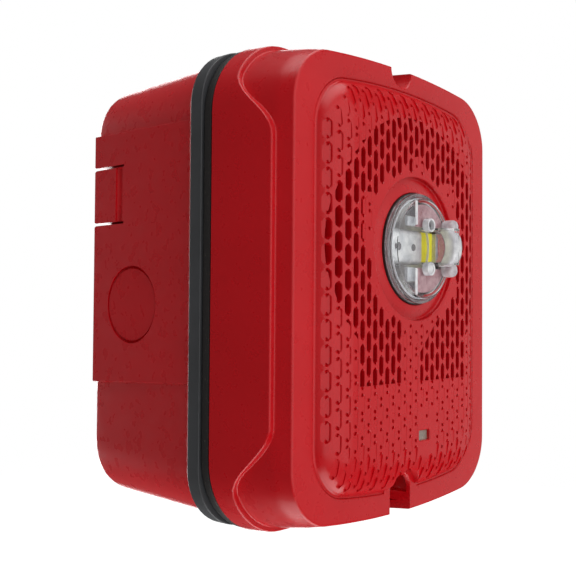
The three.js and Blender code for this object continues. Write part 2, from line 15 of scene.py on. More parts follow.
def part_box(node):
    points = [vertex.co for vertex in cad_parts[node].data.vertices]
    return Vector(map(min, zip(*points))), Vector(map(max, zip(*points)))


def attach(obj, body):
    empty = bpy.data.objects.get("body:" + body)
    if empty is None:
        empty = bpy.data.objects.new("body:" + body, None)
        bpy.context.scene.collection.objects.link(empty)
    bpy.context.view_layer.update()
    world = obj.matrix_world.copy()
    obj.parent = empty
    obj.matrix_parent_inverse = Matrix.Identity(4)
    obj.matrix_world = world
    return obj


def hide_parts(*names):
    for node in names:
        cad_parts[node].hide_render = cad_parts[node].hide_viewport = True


MM = 0.001

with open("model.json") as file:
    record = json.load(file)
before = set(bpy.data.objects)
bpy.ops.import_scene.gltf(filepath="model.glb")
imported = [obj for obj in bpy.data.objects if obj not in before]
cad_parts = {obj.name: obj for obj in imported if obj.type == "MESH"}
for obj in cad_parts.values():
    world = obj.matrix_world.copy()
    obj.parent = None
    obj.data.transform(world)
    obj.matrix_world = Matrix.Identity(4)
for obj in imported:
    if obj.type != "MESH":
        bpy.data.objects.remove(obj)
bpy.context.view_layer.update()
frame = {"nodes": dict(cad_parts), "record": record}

# ---- driving dimensions


def section(w, h, r, depth, arch=0.0):
    """A rounded rectangle at one depth: half width, half height, corner radius, end arch."""
    return (w, h, r, arch, depth)


# front housing
HOUSING_REAR = -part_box("front_housing")[1].y / MM
PAD = [section(57.1, 71.95, 22.8, HOUSING_REAR), section(56.85, 71.7, 22.6, 63.2),
       section(56.45, 71.35, 22.2, 67.2), section(55.7, 70.75, 21.4, 73), section(54.35, 69.6, 20, 81.6)]
BODY = [section(55.9, 70.6, 22, HOUSING_REAR), section(54, 68.3, 18.9, 72, 1.8),
        section(52.7, 66.2, 16.1, 80.6, 3), section(51.4, 64.95, 14.6, 85, 3.8)]
RIM_FRONT = 85.8
RIM_EDGE = 0.8                   # radius of the rim's outer edge
RIM_INNER = section(43, 58.8, 13.5, RIM_FRONT, 3.6)
INNER_EDGE = 0.55                # radius of the rim's inner edge
GROOVE_FLOOR = 85.45
GRILLE = [section(42.1, 57.9, 12.8, GROOVE_FLOOR, 3.6), section(41.6, 57.4, 12.5, 85.6, 3.6),
          section(41.2, 57, 12.2, 86.5, 3.6), section(39.7, 55.5, 11, 88.4, 3.4),
          section(36.6, 52.4, 9, 89.9, 3.1), section(33.6, 49.4, 7, 90.9, 2.9),
          section(30.4, 46.2, 5, 91.4, 2.6), section(28, 43.8, 4.4, 91.4, 2.4)]
GRILLE_FRONT = 91.4
HOLLOW = [section(28, 44, 4, 88.9, 2.2), section(35, 50.8, 8, 87.6, 2.8), section(37.8, 53.6, 9.6, 86, 3),
          section(38.4, 54.2, 10, 83.2, 3), section(49.4, 62.6, 13, 83.2, 3.2),
          section(50.2, 63.6, 13.8, 80.6, 3), section(52.2, 67, 18.2, 67, 0.9),
          section(54.5, 69.4, 20.2, 62.8), section(54.5, 69.4, 20.2, HOUSING_REAR)]
LEDGE_CORNER = 67.2              # depth of the ledge round the corners
LEDGE_SIDE = 80.6                # its depth along the middle of the sides
LEDGE_RISE = (40.5, 61)          # heights between which it slants, above
LEDGE_FALL = (38, 59)            # and below
LEDGE_ROUND = 0.5
LEDGE_FILLET = 0.35

# sounder slots
COLUMN = 3.05
COLUMNS = 13
ROW = 7.0
SLOT_HALF = (1.04, 2.85)
SLOT_CHAMFER = 0.16
POCKET = 0.14                    # least depth of a slot that is closed behind
PIT = 0.6                        # radius of the small pit at each end of a slot
LENS_Z = 12.4
HORN_RADIUS = 40.1
HORN_FLOOR = -28.2
HORN_SIDE = 29.3                 # half width of the open part below the disc

# lens recess, window and screw channels
RECESS = 21.9
RECESS_FLOOR = (89.9, 90.7)      # depth at its rim and at the lens
LENS_HOLE = 17.12
WINDOW = (4.83, -44.95, 3.0, 1.6)  # middle x and z, half width and half height
PANE = (1.5, 8.1, 88.9, 90.2, -46.9, -43)  # x, depth and z limits of the pane behind the window
CHANNEL = 5.45                   # half width
CHANNEL_FLOOR = 74.5
CAPTIVE_SCREWS = (66, -62.1)     # heights of the two captive screws
CHANNEL_MIDDLES = {1: 68.5, -1: 62.1}  # distance of the rounded end's middle from z = 0, above and below
LAND = 7.7                       # radius of the flat land round the lower channel
LAND_FOOT = -66
FAR_FRONT = 96                   # in front of everything that a cutter has to clear

# back box
BOX_DEPTH = 51.3
BOX_REAR = section(51.4, 68.2, 18.4, 0)
BOX_FRONT = section(53.8, 69.8, 19.3, BOX_DEPTH)
BOX_WALL = 2.6
BOX_BOSS = (43.5, 58, 5.2)       # x, z and radius of the bosses that take the plate screws
BOX_BOSS_HOLE = 2.1
WALL_HOLE = (32, 42, 2.5)        # x, z and radius of the holes in the back
PANEL_TOP = (50.3, 49.4)         # upper crease of the side panel, at the rear and at the front
PANEL_BOTTOM = (-30.5, -28.5)
PANEL_X = (52.8, 54.25)
TAB = (21.0, 39.2)               # heights of the slits on both sides of the snap tab
TAB_LENGTH = 16.0
TAB_SLIT = 0.75                  # half width of a slit
TAB_HINGE = (13.3, 1.75, 1.0, 52.9)  # middle depth, half width and depth of the hinge groove, and its x
KNOCKOUT = (20.1, -5.2, 12.2)    # depth, z and radius of the side ring
KNOCKOUT_FACE = 53.0             # x of the knockout's face
END_KNOCKOUT = (24.0, 11.2)      # depth and radius
KNOCKOUT_GROOVE = 0.45           # half width of the groove round a knockout
BOX_CLEAR = 57.0                 # x outside the box's side wall

# ---- mesh helpers


def new_object(name, points, faces):
    """A mesh object from (x, depth, z) points in millimetres, with its faces turned outwards."""
    mesh = bpy.data.meshes.new(name)
    mesh.from_pydata([(x * MM, -depth * MM, z * MM) for x, depth, z in points], [], faces)
    mesh.validate()
    work = bmesh.new()
    work.from_mesh(mesh)
    bmesh.ops.remove_doubles(work, verts=work.verts, dist=1e-6)
    bmesh.ops.recalc_face_normals(work, faces=work.faces)
    work.to_mesh(mesh)
    work.free()
    piece = bpy.data.objects.new(name, mesh)
    bpy.context.scene.collection.objects.link(piece)
    return piece


def stations(corner=14, side=56, end=36):
    """Places round a rounded rectangle that every section shares, as (part, sign x, sign z, place)."""
    found = []
    for turn, (sx, sz) in enumerate(((1, 1), (-1, 1), (-1, -1), (1, -1))):
        for i in range(corner + 1):
            found.append(("corner", sx, sz, (turn + i / corner) * math.pi / 2))
        if sx * sz > 0:
            found += [("end", sx, sz, sx * (1 - 2 * i / end)) for i in range(1, end)]
        else:
            found += [("side", sx, sz, sz * (1 - 2 * i / side)) for i in range(1, side)]
    return found


def place(station, sec):
    """(x, z) of a station on a section."""
    part, sx, sz, at = station
    w, h, r, arch, _ = sec
    if part == "corner":
        x = sx * (w - r) + r * math.cos(at)
        z = sz * (h - r) + r * math.sin(at)
    elif part == "end":
        x, z = (w - r) * at, sz * h
    else:
        return sx * w, (h - r) * at
    return x, z + sz * arch * (1 - (x / w) ** 2)


def between(sections, depth):
    """The section at a depth, between those of a list that runs from rear to front."""
    for low, high in zip(sections, sections[1:]):
        if depth <= high[4] or high is sections[-1]:
            share = (depth - low[4]) / (high[4] - low[4])
            return tuple(a + (b - a) * share for a, b in zip(low, high))
    return sections[-1]


def grown(sec, by, depth=None):
    w, h, r, arch, old = sec
    return (w + by, h + by, max(r + by, 0.4), arch, old if depth is None else depth)


def softened(sections, rounds=2):
    """The same run of sections with its corners cut off, its first and last kept."""
    for _ in range(rounds):
        cut = [sections[0]]
        for a, b in zip(sections, sections[1:]):
            cut.append(tuple(0.75 * p + 0.25 * q for p, q in zip(a, b)))
            cut.append(tuple(0.25 * p + 0.75 * q for p, q in zip(a, b)))
        sections = cut + [sections[-1]]
    return sections


def lofts(name, groups):
    """Closed bodies in one object, each through rows of (x, depth, z) points and capped at both ends."""
    points, faces = [], []
    for rows in groups:
        count, start = len(rows[0]), len(points)
        points += [p for row in rows for p in row]
        for k in range(len(rows) - 1):
            for i in range(count):
                a, b = start + k * count + i, start + k * count + (i + 1) % count
                faces.append((a, b, b + count, a + count))
        last = start + (len(rows) - 1) * count
        faces.append(tuple(range(start + count - 1, start - 1, -1)))
        faces.append(tuple(range(last, last + count)))
    return new_object(name, points, faces)


def loft(name, rows):
    return lofts(name, [rows])


def ring(name, rows):
    """A body whose closed rows follow each other round to the first."""
    points = [p for row in rows for p in row]
    total, count = len(rows), len(rows[0])
    faces = [(k * count + i, k * count + (i + 1) % count, (k + 1) % total * count + (i + 1) % count,
              (k + 1) % total * count + i) for k in range(total) for i in range(count)]
    return new_object(name, points, faces)


def row_of(sec, around):
    return [(x, sec[4], z) for x, z in (place(s, sec) for s in around)]


def loft_sections(name, sections, around=None):
    around = around or stations()
    return loft(name, [row_of(sec, around) for sec in sections])


def rounded_slab(name, sec, rear, front, edge=0.4, steps=4, around=None):
    """A plate with the outline of a section and rounded edges."""
    rows = []
    for i in range(steps + 1):
        turn = i / steps * math.pi / 2
        rows.append(grown(sec, -edge * (1 - math.sin(turn)), rear + edge * (1 - math.cos(turn))))
    for i in range(steps + 1):
        turn = i / steps * math.pi / 2
        rows.append(grown(sec, -edge * (1 - math.cos(turn)), front - edge * (1 - math.sin(turn))))
    return loft_sections(name, rows, around)


def prism(name, outline, rear, front):
    return loft(name, [[(x, depth, z) for x, z in outline] for depth in (rear, front)])


def rectangle(x0, x1, z0, z1, radius=0.0, steps=4):
    """Corner-rounded rectangle in X and Z."""
    if radius <= 0:
        return [(x1, z1), (x0, z1), (x0, z0), (x1, z0)]
    points = []
    for turn, (x, z) in enumerate(((x1 - radius, z1 - radius), (x0 + radius, z1 - radius),
                                   (x0 + radius, z0 + radius), (x1 - radius, z0 + radius))):
        for i in range(steps + 1):
            angle = (turn + i / steps) * math.pi / 2
            points.append((x + radius * math.cos(angle), z + radius * math.sin(angle)))
    return points


def box_piece(name, x0, x1, rear, front, z0, z1):
    return prism(name, rectangle(x0, x1, z0, z1), rear, front)


def circle(x, z, radius, steps=48):
    angles = [i / steps * 2 * math.pi for i in range(steps)]
    return [(x + radius * math.cos(angle), z + radius * math.sin(angle)) for angle in angles]


def lathe(name, profile, x=0.0, z=LENS_Z, steps=72):
    """A piece turned about an axis along Y. profile is a closed run of (radius, depth) points."""
    angles = [i / steps * 2 * math.pi for i in range(steps)]
    return ring(name, [[(x + r * math.cos(angle), d, z + r * math.sin(angle)) for r, d in profile]
                       for angle in angles])


def arc(x, y, radius, start, end, steps=6):
    """Points of a round corner in a profile, angles in degrees."""
    angles = [math.radians(start + (end - start) * i / steps) for i in range(steps + 1)]
    return [(x + radius * math.cos(angle), y + radius * math.sin(angle)) for angle in angles]


def combine(piece, tool, operation):
    """Joins a closed tool to a closed piece, or cuts it away, and deletes the tool."""
    modifier = piece.modifiers.new("combine", "BOOLEAN")
    modifier.operation = operation
    modifier.solver = "MANIFOLD"
    modifier.object = tool
    graph = bpy.context.evaluated_depsgraph_get()
    made = bpy.data.meshes.new_from_object(piece.evaluated_get(graph))
    piece.modifiers.clear()
    piece.data = made
    bpy.data.objects.remove(tool)
    return piece


def cut(piece, *tools):
    for tool in tools:
        combine(piece, tool, "DIFFERENCE")
    return piece


def join(piece, *tools):
    for tool in tools:
        combine(piece, tool, "UNION")
    return piece


def smooth(piece, angle=32, weighted=True):
    """Smooth shading with sharp edges kept."""
    piece.data.shade_smooth()
    piece.data.set_sharp_from_angle(angle=math.radians(angle))
    if weighted:
        modifier = piece.modifiers.new("normals", "WEIGHTED_NORMAL")
        modifier.keep_sharp = True
        modifier.weight = 80
    return piece


def rounded(piece, width=0.3, segments=2, angle=40):
    """Small rounded edges on a plain piece."""
    modifier = piece.modifiers.new("edges", "BEVEL")
    modifier.width = width * MM
    modifier.segments = segments
    modifier.limit_method = "ANGLE"
    modifier.angle_limit = math.radians(angle)
    modifier.harden_normals = False
    return smooth(piece, 35)


def finish_piece(piece, look, body, slot, *nodes):
    """Gives a piece its material and body, and puts it in the place of the nodes named."""
    piece.data.materials.clear()
    piece.data.materials.append(MATERIALS[look])
    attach(piece, body)
    if nodes:
        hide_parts(*nodes)
    return piece


# ---- front housing


def ease(value, low, high):
    share = min(max((value - low) / (high - low), 0), 1)
    return share * share * (3 - 2 * share)


def ledge_depth(station):
    """How far forward the pad reaches at a place round the housing."""
    x, z = place(station, PAD[1])
    if station[0] == "end":
        return LEDGE_CORNER
    span = LEDGE_RISE if z > 0 else LEDGE_FALL
    return LEDGE_SIDE - (LEDGE_SIDE - LEDGE_CORNER) * ease(abs(z), *span)


def housing_rows(around):
    """The housing's outer skin from its rear edge to the grille, one row at a time."""
    ledges = [ledge_depth(s) for s in around]
    rows = []

    def add(depth_of, section_of):
        row = []
        for station, ledge in zip(around, ledges):
            depth = depth_of(ledge)
            x, z = place(station, section_of(depth))
            row.append((x, depth, z))
        rows.append(row)

    rear_edge = 0.3
    add(lambda ledge: HOUSING_REAR, lambda d: grown(between(PAD, d), -rear_edge))
    pad_rows = 8
    start = HOUSING_REAR + rear_edge
    for k in range(pad_rows + 1):
        add(lambda ledge: start + (ledge - LEDGE_ROUND - start) * k / pad_rows, lambda d: between(PAD, d))
    for turn in (30, 60, 90):
        inward = LEDGE_ROUND * (1 - math.cos(math.radians(turn)))
        ahead = LEDGE_ROUND * (math.sin(math.radians(turn)) - 1)
        add(lambda ledge: ledge + ahead, lambda d: grown(between(PAD, d), -inward))
    for turn in (0, 30, 60, 90):
        outward = LEDGE_FILLET * (1 - math.sin(math.radians(turn)))
        ahead = LEDGE_FILLET * (1 - math.cos(math.radians(turn)))
        add(lambda ledge: ledge + ahead, lambda d: grown(between(BODY, d), outward))
    body_rows = 12
    top = BODY[-1][4]
    for k in range(1, body_rows + 1):
        add(lambda ledge: ledge + LEDGE_FILLET + (top - ledge - LEDGE_FILLET) * k / body_rows,
            lambda d: between(BODY, d))
    for turn in (15, 30, 45, 60, 75, 90):
        angle = math.radians(turn)
        sec = grown(BODY[-1], -RIM_EDGE * (1 - math.cos(angle)), top + RIM_EDGE * math.sin(angle))
        rows.append(row_of(sec, around))
    outer = rows[-1]
    inner = row_of(RIM_INNER, around)
    for share in (0.33, 0.67, 1):
        rows.append([tuple(a + (b - a) * share for a, b in zip(p, q)) for p, q in zip(outer, inner)])
    for turn in (22.5, 45, 67.5, 90):
        angle = math.radians(turn)
        back = INNER_EDGE * (1 - math.cos(angle))
        rows.append(row_of(grown(RIM_INNER, -INNER_EDGE * math.sin(angle), RIM_FRONT - back), around))
    rows.append(row_of(grown(RIM_INNER, -INNER_EDGE - 0.1, GROOVE_FLOOR), around))
    rows += [row_of(sec, around) for sec in softened(GRILLE)]
    return rows


def inset_of(x, z):
    """How far a point lies inside the grille's base outline, in millimetres."""
    w, h, r, arch, _ = GRILLE[2]
    lift = arch * (1 - (x / w) ** 2)
    dx, dz = abs(x) - (w - r), abs(z) - lift - (h - r)
    if dx > 0 and dz > 0:
        return r - math.hypot(dx, dz)
    return r - max(dx, dz)


GRILLE_PROFILE = [(GRILLE[2][0] - s[0], s[4]) for s in softened(GRILLE)]


def grille_depth(x, z):
    """Depth of the grille's face at a point."""
    inset = inset_of(x, z)
    for (a, low), (b, high) in zip(GRILLE_PROFILE, GRILLE_PROFILE[1:]):
        if inset <= b:
            return low + (high - low) * (inset - a) / (b - a)
    return GRILLE_FRONT


def stadium(x, z0, z1, half, steps=6):
    """A round-ended slot standing upright, as points going round."""
    points = []
    for end, centre in ((0, z1 - half), (1, z0 + half)):
        for i in range(steps + 1):
            angle = (end + i / steps) * math.pi
            points.append((x + half * math.cos(angle), centre + half * math.sin(angle)))
    return points


def slot_places():
    """Middle x, lower z and upper z of each slot, brick fashion, kept on the grille."""
    half, length = SLOT_HALF
    margin, shortest, step = 0.4, 2.6, 0.1
    found = []
    for column in range(-COLUMNS, COLUMNS + 1):
        x = column * COLUMN
        for row in range(-12, 12):
            middle = LENS_Z + (row + (0.5 if column % 2 else 0.0)) * ROW
            low, high = middle - length, middle + length
            while high - low > shortest and min(inset_of(x - half, high), inset_of(x + half, high)) < margin:
                high -= step
            while high - low > shortest and min(inset_of(x - half, low), inset_of(x + half, low)) < margin:
                low += step
            if high - low > shortest + step:
                found += trimmed(x, low, high)
    return found


def trimmed(x, low, high):
    """The slot without what the lens recess or the window would take."""
    half = SLOT_HALF[0]
    keep = RECESS + 1.5
    wx, wz, ww, wh = WINDOW
    reach = abs(x) - half
    if reach < keep:
        span = math.sqrt(keep * keep - max(reach, 0) ** 2)
        if low < LENS_Z + span and high > LENS_Z - span:
            parts = [(low, min(high, LENS_Z - span)), (max(low, LENS_Z + span), high)]
            return [(x, a, b) for a, b in parts if b - a > 2.4]
    if abs(x - wx) < ww + half + 0.6 and low < wz + wh + 1.2 and high > wz - wh - 1.2:
        return []
    return [(x, low, high)]


def slot_tool(x, low, high, floor):
    """A slot cutter whose mouth flares along the curved face of the grille."""
    half = SLOT_HALF[0]
    wide = stadium(x, low - SLOT_CHAMFER, high + SLOT_CHAMFER, half + SLOT_CHAMFER)
    tight = stadium(x, low, high, half)
    faces = [grille_depth(*p) for p in wide]
    inner = [grille_depth(*p) for p in tight]
    top = max(faces) + 1.5
    rows = [[(px, floor(d, min(inner)), pz) for (px, pz), d in zip(tight, inner)],
            [(px, d - SLOT_CHAMFER, pz) for (px, pz), d in zip(tight, inner)],
            [(px, d + 0.02, pz) for (px, pz), d in zip(wide, faces)],
            [(px, top, pz) for px, pz in wide]]
    return rows


def pocket_floor(face, lowest):
    """Depth of a closed slot's floor, which leans less than the face round it."""
    return 0.8 * face + 0.2 * lowest - POCKET - 0.12 * min(max(GRILLE_FRONT - lowest, 0), 1)


def pocket_tools(places):
    return lofts("pockets", [slot_tool(*at, pocket_floor) for at in places])


def pit_tools(places):
    """Small pits at both ends of each slot."""
    from_end, deep, ahead = 0.3, 0.6, 1.2
    groups = []
    for x, low, high in places:
        for z in (low + from_end, high - from_end):
            face = grille_depth(x, z)
            groups.append([[(px, depth, pz) for px, pz in circle(x, z, PIT, 10)]
                           for depth in (face - deep, face + ahead)])
    return lofts("pits", groups)


def horn_mask():
    """The space behind the grille where the slots are open: a disc with patches left solid."""
    far, near = 80, FAR_FRONT
    disc = [p for p in circle(0, LENS_Z, HORN_RADIUS, 96) if p[1] > HORN_FLOOR]
    mask = prism("horn_mask", disc, far, near)
    join(mask, box_piece("below_disc", -HORN_SIDE, HORN_SIDE, far, near, HORN_FLOOR + 0.01, LENS_Z))
    solid = [
        rectangle(-27.6, -19.6, 12.2, 27.4, 1.5),
        rectangle(-21.3, -16, -2.7, 2.3, 1),
        circle(0.8, 37.6, 3.3, 20),
        circle(18.2, 29, 5.6, 24),
        rectangle(20.6, 24, -2.7, 4, 1),
        rectangle(-7, 2.4, -29, -6),
        [(2.3, -19.3), (17.3, -4.2), (17.3, 2), (2.3, 2)],
    ]
    for i, outline in enumerate(solid):
        cut(mask, prism(f"patch_{i}", outline, far - 1, near + 1))
    return mask


def front_housing():
    around = stations()
    rows = [row_of(sec, around) for sec in HOLLOW] + housing_rows(around)
    housing = loft("horn_strobe_housing", rows)
    wall = 3.4
    side = CHANNEL + wall
    tower_rear = CHANNEL_FLOOR - 3
    join(housing, box_piece("tower_top", -side, side, tower_rear, 84.9, 61.0, 67.4))
    join(housing, box_piece("tower_bottom", -side, side, tower_rear, RIM_FRONT - 0.005, -66.5, -53.4))
    join(housing, prism("recess_floor", circle(0, LENS_Z, RECESS + 2, 72), 85.6, 91))
    cut(housing, recess_tool(), land_tool(), channel_tool(1), channel_tool(-1), window_tool())
    cut(housing, box_piece("hollow_bottom", -7.2, 7.2, CHANNEL_FLOOR, 84.2, -63.6, -55.4))
    places = slot_places()
    cut(housing, pocket_tools(places), pit_tools(places))
    behind_grille = 80.5
    through = lofts("through", [slot_tool(*at, lambda *face: behind_grille) for at in places])
    combine(through, horn_mask(), "INTERSECT")
    cut(housing, through)
    return smooth(housing, 28)


def recess_tool():
    edge = 0.45
    profile = [(0.001, 97), (RECESS + edge + 0.02, 97), (RECESS + edge + 0.02, GRILLE_FRONT + 0.01)]
    profile += arc(RECESS + edge, GRILLE_FRONT - edge, edge, 90, 180, 5)
    profile += arc(RECESS - 0.5, RECESS_FLOOR[0] + 0.5, 0.5, 0, -90, 5)
    profile += arc(LENS_HOLE + 0.4, RECESS_FLOOR[1] - 0.4, 0.4, 80, 180, 4)
    profile += [(LENS_HOLE, 82), (0.001, 82)]
    return lathe("recess_tool", profile, steps=96)


def channel_tool(side):
    """U-shaped cutter for the recess over a captive screw. Its mouth at the rim is rounded."""
    beyond = 82
    middle = CHANNEL_MIDDLES[side]
    outline = []
    steps = 24
    for i in range(steps + 1):
        angle = math.pi * i / steps
        outline.append((CHANNEL * math.cos(angle), side * (middle - CHANNEL * math.sin(angle))))
    outline += [(-CHANNEL, side * beyond), (CHANNEL, side * beyond)]
    if side < 0:
        outline.reverse()
    edge = 0.4
    rows = []
    for depth, grow in ((CHANNEL_FLOOR, 0), (RIM_FRONT - edge, 0), (RIM_FRONT - 0.6 * edge, 0.08),
                        (RIM_FRONT - 0.25 * edge, 0.22), (RIM_FRONT + 0.01, edge), (RIM_FRONT + 6, edge)):
        scale = (CHANNEL + grow) / CHANNEL
        rows.append([(x * scale, depth, side * (middle + (abs(z) - middle) * scale)) for x, z in outline])
    return loft("channel_tool", rows)


def land_tool():
    """U-shaped cutter that takes the grille down to the rim's level round the lower channel."""
    steps = 24
    angles = [math.pi * i / steps for i in range(steps + 1)]
    outline = [(LAND * math.cos(angle), CAPTIVE_SCREWS[1] + LAND * math.sin(angle)) for angle in angles]
    outline += [(-LAND, LAND_FOOT), (LAND, LAND_FOOT)]
    return prism("land_tool", outline, RIM_FRONT, FAR_FRONT)


def window_tool():
    x, z, w, h = WINDOW
    edge = 0.25
    rows = []
    for depth, grow in ((80, 0), (GRILLE_FRONT - edge, 0), (GRILLE_FRONT + 0.01, edge),
                        (GRILLE_FRONT + 3, edge)):
        rows.append([(px, depth, pz) for px, pz in
                     rectangle(x - w - grow, x + w + grow, z - h - grow, z + h + grow, 0.35 + grow)])
    return loft("window_tool", rows)


# ---- lens and strobe

LENS_WALL = 16.8                 # radius of the lens where it leaves the housing
LENS_FLOOR = 90.9                # depth of the wall's rear edge
LENS_FACE = 94.5                 # depth of its flat face
LENS_FACE_RADIUS = 14.9
# outline of the nose over the emitter and of the space inside it, as (x, depth)
NOSE = [(-2.2, 93.9), (-1.5, 95.8), (0.2, 98.4), (2.2, 100.6), (4.0, 102.0), (5.0, 102.4), (6.6, 102.4),
        (6.6, 93.9)]
NOSE_INSIDE = [(-1.6, 91.5), (-1.0, 95.5), (0.65, 98.0), (2.55, 100.15), (4.2, 101.4), (5.1, 101.8),
               (8.9, 101.8), (8.9, 91.5)]
NOSE_Z = (7.4, 18.4)
NOSE_MIDDLE = 12.95
NOSE_WALL = 0.6
EARS = {"top": (11.2, 19.6, 98.6), "bottom": (11.0, 6.1, 98.4)}  # x, z and depth of the front
EAR_RADIUS = 2.2
# x and z of the hollow posts, and material and front of the plug in each
POSTS = {"top": (0.2, 19.4, "lens_smoke", 95.4), "bottom": (0.2, 6.2, "lens_milk", 96.4)}
ON_FACE = 94.6                   # depth where the pieces on the lens face start
POST_FRONT = 96.5
TRAY = (15.2, 85.4, 86.6)        # radius, and depth of its rear and front
# x of the pod's square end, x and z of its round end's middle, its radius and its front
POD = (1.4, -8.8, 12.8, 5.2, 91.6)
PIN_HOLE_SHADES = {"pin_hole_shade_1": (-10.7, 1.25), "pin_hole_shade_2": (-2.9, 1.1)}  # x and radius of each dark disc of painted shade over a pin hole of the pod
PIN_Z = 12.6
EMITTERS = {"left": (2.0, 5.3, "led_amber"), "right": (5.75, 8.8, "led_phosphor")}  # x limits and material
EMITTER_Z = (8.5, 17.7)
INSERT = (92.2, 93.3)            # depth of the flat pieces behind the lens face
# flat pieces behind the lens face: x limits, z limits and material. Their pink, light grey and dark grey are
# painted reflections of the clear lens's facets
INSERTS = {
    "panel_top": (-3.8, 14, 18.9, 30, "lens_pink_reflection"), "panel_bottom": (-3.8, 14, -5, 6.4, "lens_pink_reflection"),
    "tile_top": (-8.6, -4.4, 18.9, 21.7, "lens_pale"), "tile_bottom": (-8.6, -4.4, 2.2, 6.4, "lens_pale"),
    "dark_top": (-8.6, -4.4, 22, 30, "lens_smoke"), "dark_bottom": (-8.6, -4.4, -5, 1.9, "lens_smoke"),
}
RIBS = {"top": (19.2, 26.6), "bottom": (-1.8, 6.2)}  # z limits
RIB_X = (-6.1, -4.9)
# rings whose taupe and pale colours are painted reflections of the bands seen in the clear lens wall: inner
# and outer radius, front depth and material
REFRACTION_BANDS = {"outer": (14.7, 16.75, 90.8, "lens_taupe"), "inner": (14.2, 14.6, 92.3, "lens_pale")}


def upright(name, plan, z0, z1):
    """A piece with one outline in X and depth, drawn out along Z."""
    return loft(name, [[(x, depth, z) for x, depth in plan] for z in (z0, z1)])


def peg(name, x, z, radius, rear, front, edge=0.5, steps=32):
    """A round peg whose front edge is rounded."""
    profile = [(radius, rear)] + arc(radius - edge, front - edge, edge, 0, 90, 5)
    return loft(name, [[(px, depth, pz) for px, pz in circle(x, z, r, steps)] for r, depth in profile])


def lens_shell():
    """The clear moulding: a round wall, a flat face and a thin nose over the emitter."""
    wall, face, top = LENS_WALL, LENS_FACE_RADIUS, LENS_FACE
    profile = [(wall, LENS_FLOOR)] + arc(wall - 0.4, 92.6, 0.4, 0, 90, 5)
    profile += [(face + 1.15, 93.02), (face + 0.95, 93.12), (face + 0.3, top - 0.45),
                (face + 0.1, top - 0.15), (face - 0.25, top), (0.001, top), (0.001, top - 1),
                (face - 0.9, top - 1), (face - 0.1, 92.4), (wall - 1.2, 92), (wall - 1.2, LENS_FLOOR)]
    shell = lathe("strobe_lens", profile, steps=96)
    join(shell, upright("nose", NOSE, *NOSE_Z))
    cut(shell, upright("nose_inside", NOSE_INSIDE, NOSE_Z[0] + NOSE_WALL, NOSE_Z[1] - NOSE_WALL))
    return rounded(shell, 0.2, 2, 50)


def disc_part(x0, x1, z0, z1, radius, steps=160):
    """Outline of the part of a disc round the lens axis that lies in a rectangle."""
    kept = []
    for x, z in circle(0, LENS_Z, radius, steps):
        x, z = min(max(x, x0), x1), min(max(z, z0), z1)
        if math.hypot(x, z - LENS_Z) <= radius + 0.01 and (not kept or math.dist(kept[-1], (x, z)) > 0.05):
            kept.append((x, z))
    return kept


def strobe_tray():
    """Silvered tray under the lens, with a raised round-ended block that holds the emitter's pins."""
    radius, rear, front = TRAY
    tray = prism("strobe_tray", circle(0, LENS_Z, radius, 72), rear, front)
    square, x, z, reach, top = POD
    edge = 1.7
    rows = []
    for turn in range(-15, 91, 15):
        angle = math.radians(max(turn, 0))
        inset = edge * (1 - math.cos(angle))
        depth = 86 if turn < 0 else top - edge * (1 - math.sin(angle))
        row = [(square, depth, z - reach + inset), (square, depth, z + reach - inset)]
        row += [(x + (reach - inset) * math.cos(math.radians(a)), depth,
                 z + (reach - inset) * math.sin(math.radians(a))) for a in range(90, 271, 10)]
        rows.append(row)
    join(tray, loft("pod", rows))
    return smooth(tray, 35)


def band_height(z):
    """Rear edge of the tinted band behind the nose, which bows forward in the middle."""
    return 93.3 + 1.5 * (1 - ((z - NOSE_MIDDLE) / 4.4) ** 2)


def emitter_wire():
    """Thin bowed wire between the two halves of the emitter."""
    low, high = EMITTER_Z
    steps, bow = 12, 0.9
    section_x = ((5.35, 90.9), (5.75, 90.9), (5.75, 91.7), (5.35, 91.7))
    rows = []
    for i in range(steps + 1):
        z = low + (high - low) * i / steps
        bend = bow * (1 - ((z - 13.1) / 4.6) ** 2) - 0.6
        rows.append([(x + bend, depth, z) for x, depth in section_x])
    return loft("strobe_emitter_wire", rows)


def lens_core_band():
    """Tinted band that shows through the side of the nose."""
    low, high, steps = 8.5, 17.3, 16
    rows = []
    for i in range(steps + 1):
        z = low + (high - low) * i / steps
        middle = band_height(z)
        rows.append([(x, middle + rise, z) for x, rise in ((7.6, 0), (9.4, 0), (9.2, 2.1), (6.9, 2.1))])
    return loft("lens_core_band", rows)


def lens_crown():
    """Rounded milky block behind the nose, highest in its middle."""
    steps, half, top = 24, 5.9, 102.1
    outline = ((6.9, 0), (12.9, 0), (12.8, 0.3), (12, 0.6), (10.2, 0.84), (8.2, 0.97), (6.6, 1),
               (5.2, 0.9), (5.6, 0.55))
    rows = []
    for i in range(steps + 1):
        side = 2 * i / steps - 1
        z = NOSE_MIDDLE + half * side
        low = max(band_height(z) + 2.2, ON_FACE)
        rise = top - 1.4 * side ** 2 - 3.2 * side ** 6 - low
        rows.append([(x, low + share * rise, z) for x, share in outline])
    return loft("lens_crown", rows)


